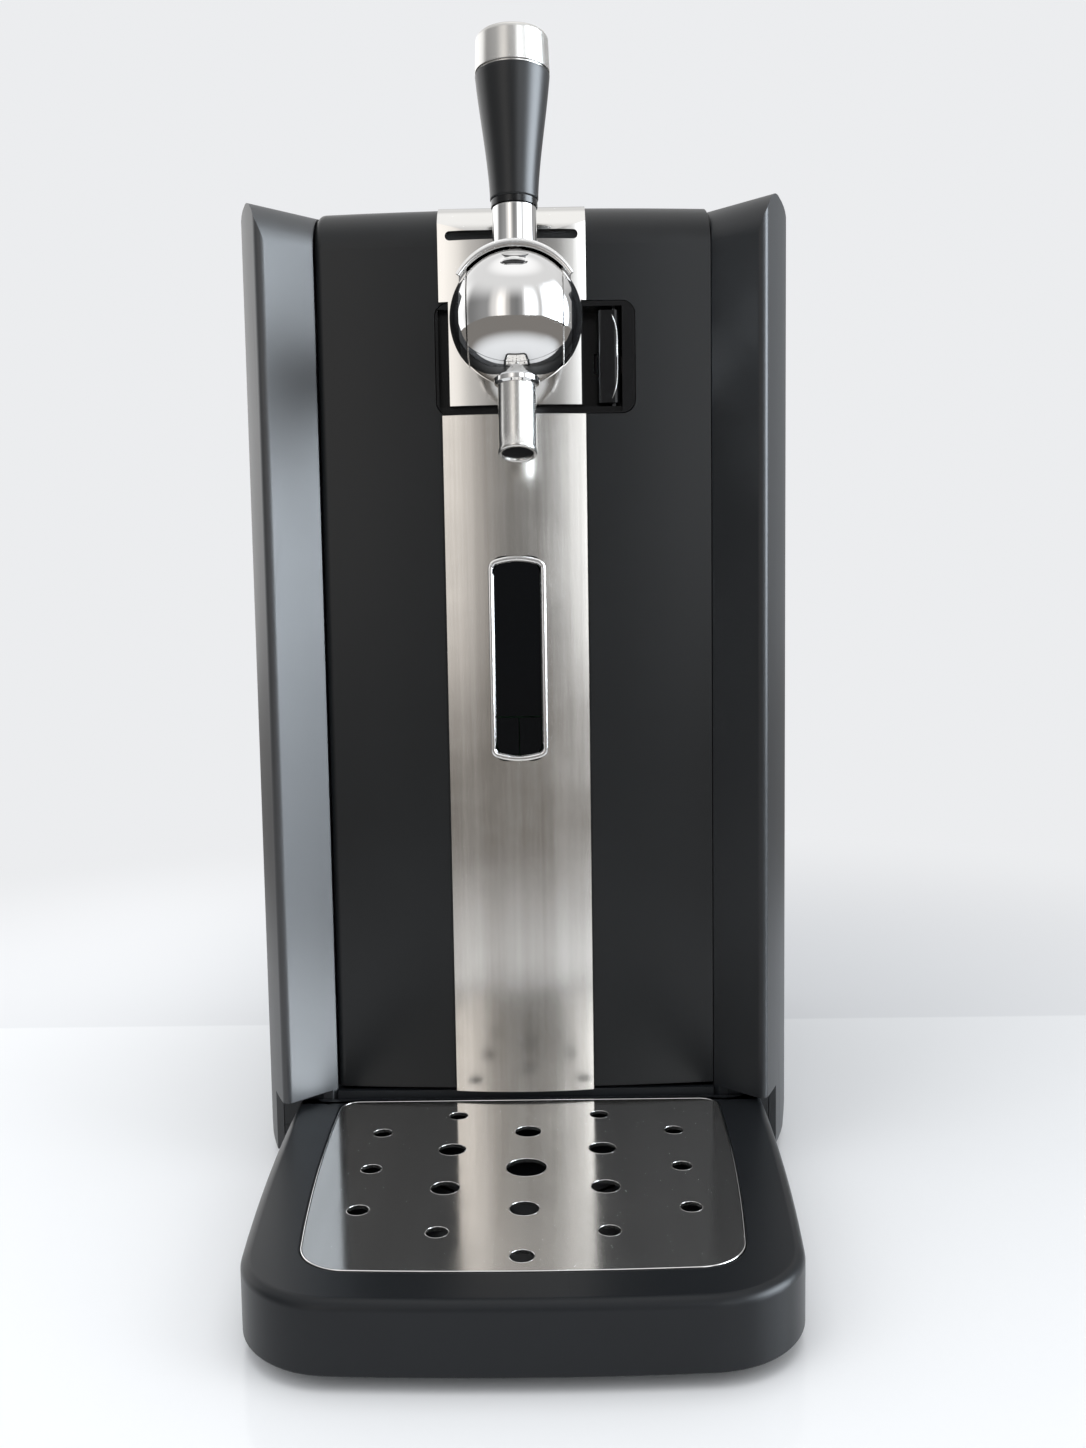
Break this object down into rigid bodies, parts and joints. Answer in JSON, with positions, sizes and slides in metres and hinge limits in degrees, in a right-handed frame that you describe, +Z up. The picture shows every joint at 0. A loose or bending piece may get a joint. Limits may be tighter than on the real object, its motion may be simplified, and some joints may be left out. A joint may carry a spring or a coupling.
{
  "type": "mini keg beer dispenser",
  "caption": "Countertop cooler for a mini keg with a hinged front door, a ball tap with a pull-forward handle, a narrow display and a drip tray.",
  "frame": {"origin": "on the table at the middle of the footprint", "axes": "+X to the right as seen from the front, +Y to the back, +Z up"},
  "size_m": [0.261, 0.444, 0.4892],
  "materials": {
    "casing": "satin",
    "door_panel": "satin",
    "strip_steel": "brushed along its length",
    "plate_chrome": "polished",
    "grid_steel": "brushed",
    "dark_gloss": "gloss",
    "grip_black": "satin",
    "window": "gloss",
    "pale_plastic": "satin",
    "foam": "matte",
    "seal_rubber": "matte",
    "screw_steel": "plain",
    "cast_aluminium": "plain",
    "circuit": "satin",
    "hose": "satin"
  },
  "bodies": {
    "cabinet": {"right_side_cover": "casing", "left_side_cover": "casing", "top_cover": "casing", "rear_cover": "casing", "case_screws": "screw_steel", "base_pan": "casing", "rubber_feet": "seal_rubber", "machine_deck": "pale_plastic", "chamber_liner": "pale_plastic", "chamber_foam": "foam", "cold_plate": "cast_aluminium", "peltier_module": "pale_plastic", "heat_sink": "cast_aluminium", "fan_frame": "grip_black", "power_supply": "cast_aluminium", "control_board": "circuit", "pump_head": "pale_plastic", "pump_motor": "screw_steel", "air_hose": "hose", "keg_coupling": "pale_plastic", "mains_inlet": "grip_black", "switch_frame": "grip_black", "hinge_leaves": "screw_steel", "hinge_pins": "screw_steel", "strike_plate": "screw_steel"},
    "door": {"door_shell": "door_panel", "door_liner": "pale_plastic", "door_foam": "foam", "door_gasket": "seal_rubber", "door_screws": "screw_steel", "line_grommet": "seal_rubber", "steel_strip": "strip_steel", "tap_plate": "plate_chrome", "latch_pocket": "dark_gloss", "lever_pin": "screw_steel", "bolt_guide": "grip_black", "display_bezel": "plate_chrome", "display_window": "window", "display_board": "circuit", "tap_housing": "dark_gloss", "ball_front_cap": "plate_chrome", "spout": "strip_steel", "spout_collar": "plate_chrome", "tap_nut": "screw_steel"},
    "tap_lever": {"tap_yoke": "plate_chrome", "pivot_caps": "dark_gloss", "handle_neck": "plate_chrome", "grip_ring": "grip_black", "handle_grip": "grip_black", "handle_cap": "plate_chrome"},
    "plunger": {"pinch_plunger": "screw_steel"},
    "latch": {"latch_lever": "dark_gloss"},
    "bolt": {"latch_bolt": "screw_steel"},
    "menu_key": {"left_key": "window"},
    "light_key": {"right_key": "window"},
    "tray": {"drip_tray": "casing"},
    "grid": {"drip_grid": "grid_steel"},
    "fan": {"fan_rotor": "grip_black"},
    "crank": {"pump_crank": "pale_plastic"},
    "rocker": {"power_rocker": "grip_black"}
  },
  "joints": [
    {"name": "door_swing", "type": "hinge", "parent": "cabinet", "child": "door", "pos_m": [-0.0815, -0.0363, 0.227], "axis": [0, 0, -1], "range_deg": [0, 100]},
    {"name": "tap_pull", "type": "hinge", "parent": "door", "child": "tap_lever", "pos_m": [0.0025, -0.082, 0.376], "axis": [1, 0, 0], "range_deg": [0, 45]},
    {"name": "plunger_lift", "type": "slide", "parent": "door", "child": "plunger", "axis": [0, 0, 1], "range_m": [0, 0.005]},
    {"name": "latch_pull", "type": "hinge", "parent": "door", "child": "latch", "pos_m": [0.0446, -0.0394, 0.368], "axis": [0, 0, 1], "range_deg": [0, 25]},
    {"name": "bolt_slide", "type": "slide", "parent": "door", "child": "bolt", "axis": [-1, 0, 0], "range_m": [0, 0.0055], "stiffness_N_per_m": 150},
    {"name": "menu_press", "type": "slide", "parent": "door", "child": "menu_key", "axis": [0, 1, 0], "range_m": [0, 0.0005], "stiffness_N_per_m": 300},
    {"name": "light_press", "type": "slide", "parent": "door", "child": "light_key", "axis": [0, 1, 0], "range_m": [0, 0.0005], "stiffness_N_per_m": 300},
    {"name": "tray_slide", "type": "slide", "parent": "cabinet", "child": "tray", "axis": [0, -1, 0], "range_m": [0, 0.17]},
    {"name": "grid_lift", "type": "slide", "parent": "tray", "child": "grid", "axis": [0, 0, 1], "range_m": [0, 0.06]},
    {"name": "fan_spin", "type": "hinge", "parent": "cabinet", "child": "fan", "pos_m": [0, 0.086, 0.018], "axis": [0, 0, 1], "continuous": true},
    {"name": "crank_spin", "type": "hinge", "parent": "cabinet", "child": "crank", "pos_m": [-0.082, 0.163, 0.0265], "axis": [0, 1, 0], "continuous": true},
    {"name": "power_rock", "type": "hinge", "parent": "cabinet", "child": "rocker", "pos_m": [-0.026, 0.218, 0.052], "axis": [1, 0, 0], "range_deg": [0, 14]}
  ],
  "couplings": [
    {"joint": "plunger_lift", "follows": "tap_pull", "m_per_rad": 0.006366},
    {"joint": "latch_pull", "follows": "bolt_slide", "rad_per_m": 79.3}
  ]
}
